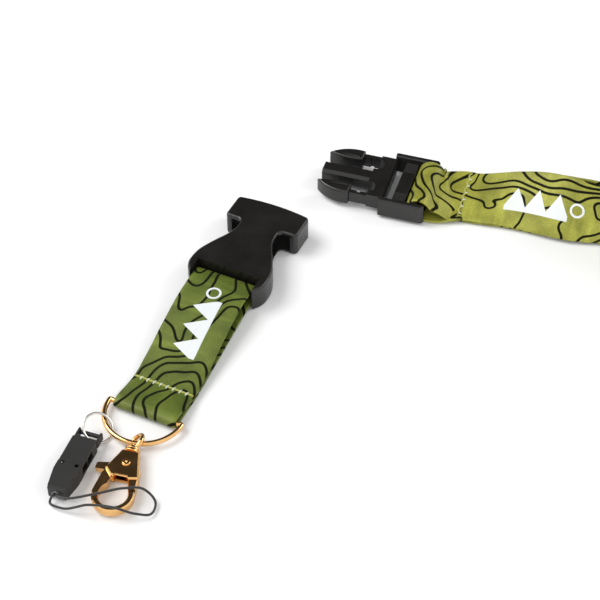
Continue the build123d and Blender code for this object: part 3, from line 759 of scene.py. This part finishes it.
def make_short_seam(thread, painted_glint_material):
    """Straight seam across the doubled short strap, on both faces, with painted glints at its holes: short
    pale crossing threads standing in for highlights.
    """
    across = turn_short((0, 1, 0))
    along = turn_short((1, 0, 0))
    faces = ((1, UPPER_AT_SEAM + WEB_THICK / 2), (-1, LOWER_AT_SEAM - WEB_THICK / 2))
    pitch = (WEB_WIDTH - SHORT_SEAM_INSET) / SHORT_STITCHES
    slant = along * 0.9 - across * 0.15
    stitches = []
    glints = []
    for side, z in faces:
        middle = lay_short((SEAM_X, strap_drift(SEAM_X), z))
        up = Vector((0, 0, side))
        holes = []
        for i in range(SHORT_STITCHES + 1):
            holes.append(middle + across * (i - SHORT_STITCHES / 2) * pitch)
        for first, second in zip(holes, holes[1:]):
            stitches.append(stitch(first, second, up, STRAIGHT_RISE))
        for hole in holes[1:-1]:
            glints.append(stitch(hole - slant, hole + slant, up, PAINTED_GLINT_RISE))
    seam = tubes_piece("short_seam", stitches, THREAD_R, thread)
    pale = tubes_piece("short_seam_painted_glints", glints, PAINTED_GLINT_R, painted_glint_material)
    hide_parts("short_strap_stitching")
    for piece in (seam, pale):
        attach(piece, "short_strap")


def make_cord(material):
    """Thin cord, given in the buckled place: out of the crimp, over the claw, round, and back into it."""
    out = [(-155.3, 6.5, 3.1), (-156.6, 5.9, 3.1), (-157.6, 2.6, 4.6)]
    over = [(-152.0, -7.3, 6.0), (-146.0, -14.5, 6.0), (-142.2, -20.0, 4.2)]
    end = [(-143.6, -25.2, 1.4), (-148.4, -26.2, 1.2), (-151.9, -22.0, 3.0)]
    back = [(-154.4, -15.5, 5.6), (-156.6, -7.0, 5.0), (-159.6, 2.4, 1.6)]
    home = [(-159.1, 7.2, 1.6), (-156.8, 7.2, 3.1), (-155.4, 7.0, 3.1)]
    points = [*out, *over, *end, *back, *home]
    run = smooth_curve([lay_short(point) for point in points], CORD_STEP)
    piece = tubes_piece("phone_cord", [run], CORD_R, material, CORD_SIDES)
    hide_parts("cord_loop")
    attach(piece, "cord")


def dress(nodes, material):
    """Give CAD nodes a material."""
    for name in nodes:
        node = frame["nodes"][name]
        coat(node, material)


def dress_hard_parts():
    """Give every hard CAD node the finish of its kind."""
    buckle = plastic_material("buckle_plastic", 0.28, 1500.0)
    connector = plastic_material("connector_plastic", 0.48, 1900.0)
    gold = metal_material("gold_plate", (0.70, 0.38, 0.13), (0.90, 0.58, 0.26), 0.08)
    nickel = metal_material("nickel_plate", (0.60, 0.59, 0.56), (0.78, 0.77, 0.74), 0.16)
    spring = metal_material("spring_steel", (0.40, 0.40, 0.41), (0.60, 0.60, 0.60), 0.25)
    crimp = metal_material("crimp_metal", (0.36, 0.36, 0.37), (0.55, 0.55, 0.55), 0.3)
    plug_and_socket = ("male_frame", "latch_arm_left", "latch_arm_right", "female_housing")
    phone_connector = ("mini_socket", "mini_plug", "mini_latch_left", "mini_latch_right")
    ring_and_claw = ("d_ring", "swivel_bail", "swivel_pin", "claw_body", "gate_rivet", "gate_lever")
    dress(plug_and_socket, buckle)
    dress(phone_connector, connector)
    dress(ring_and_claw, gold)
    dress(("jump_ring",), nickel)
    dress(("gate_spring",), spring)
    dress(("cord_crimp",), crimp)


# ---------------------------------------------------------------- stage
def make_floor():
    """A wide floor just under the lanyard."""
    signs = ((-1, -1), (1, -1), (1, 1), (-1, 1))
    corners = [(x * FLOOR_HALF, y * FLOOR_HALF, FLOOR_Z) for x, y in signs]
    floor = mesh_piece("floor", corners, [(0, 1, 2, 3)], [(0, 0)] * 4)
    coat(floor, floor_material())


def area_light(name, place, size, power):
    """A square soft light that faces the lanyard."""
    light = bpy.data.lights.new(name, "AREA")
    light.size = size
    light.energy = power
    lamp = bpy.data.objects.new(name, light)
    lamp.location = place
    lamp.rotation_euler = (Vector(LIGHTS_AIM) - Vector(place)).to_track_quat("-Z", "Y").to_euler()
    bpy.context.scene.collection.objects.link(lamp)


def make_world():
    """A white studio, dark where the parts' tops mirror it to the camera: black and gold keep contrast."""
    world = bpy.data.worlds.new("studio")
    world.use_nodes = True
    nodes = world.node_tree.nodes
    links = world.node_tree.links
    coordinates = nodes.new("ShaderNodeTexCoord")
    facing = nodes.new("ShaderNodeVectorMath")
    facing.operation = "DOT_PRODUCT"
    facing.inputs[1].default_value = MIRRORED.normalized()
    ramp = nodes.new("ShaderNodeValToRGB")
    for stop, position, colour in zip(ramp.color_ramp.elements, DARKENS_BETWEEN, (WHITE, DARK)):
        stop.position = position
        stop.color = colour
    links.new(coordinates.outputs["Generated"], facing.inputs[0])
    links.new(facing.outputs["Value"], ramp.inputs[0])
    links.new(ramp.outputs[0], nodes["Background"].inputs[0])
    nodes["Background"].inputs[1].default_value = STUDIO_STRENGTH
    bpy.context.scene.world = world


def make_camera():
    """The camera, and the scene's only one."""
    data = bpy.data.cameras.new("camera")
    data.sensor_width = SENSOR
    data.lens = CAMERA_LENS
    camera = bpy.data.objects.new("camera", data)
    camera.location = CAMERA_AT
    camera.rotation_euler = (CAMERA_LOOK - CAMERA_AT).to_track_quat("-Z", "Y").to_euler()
    bpy.context.scene.collection.objects.link(camera)
    bpy.context.scene.camera = camera


dress_hard_parts()
make_neck_webbing()
make_short_webbing()
thread = thread_material("seam_thread", (0.30, 0.31, 0.03), (0.62, 0.62, 0.14), 9.0)
# pale thread for the painted glints at the seams' needle holes
painted_glint_material = thread_material("painted_glint_white", (0.60, 0.64, 0.52), (0.88, 0.90, 0.84), 9.0)
make_neck_seam(thread, painted_glint_material)
make_short_seam(thread, painted_glint_material)
make_cord(thread_material("cord_fibre", (0.006, 0.006, 0.006), (0.035, 0.034, 0.032), 7.0))
make_floor()
make_world()
area_light("key", KEY_AT, 0.7, 9.0)
area_light("rim", RIM_AT, 0.4, 2.5)
make_camera()
bpy.context.scene.view_settings.view_transform = "Standard"
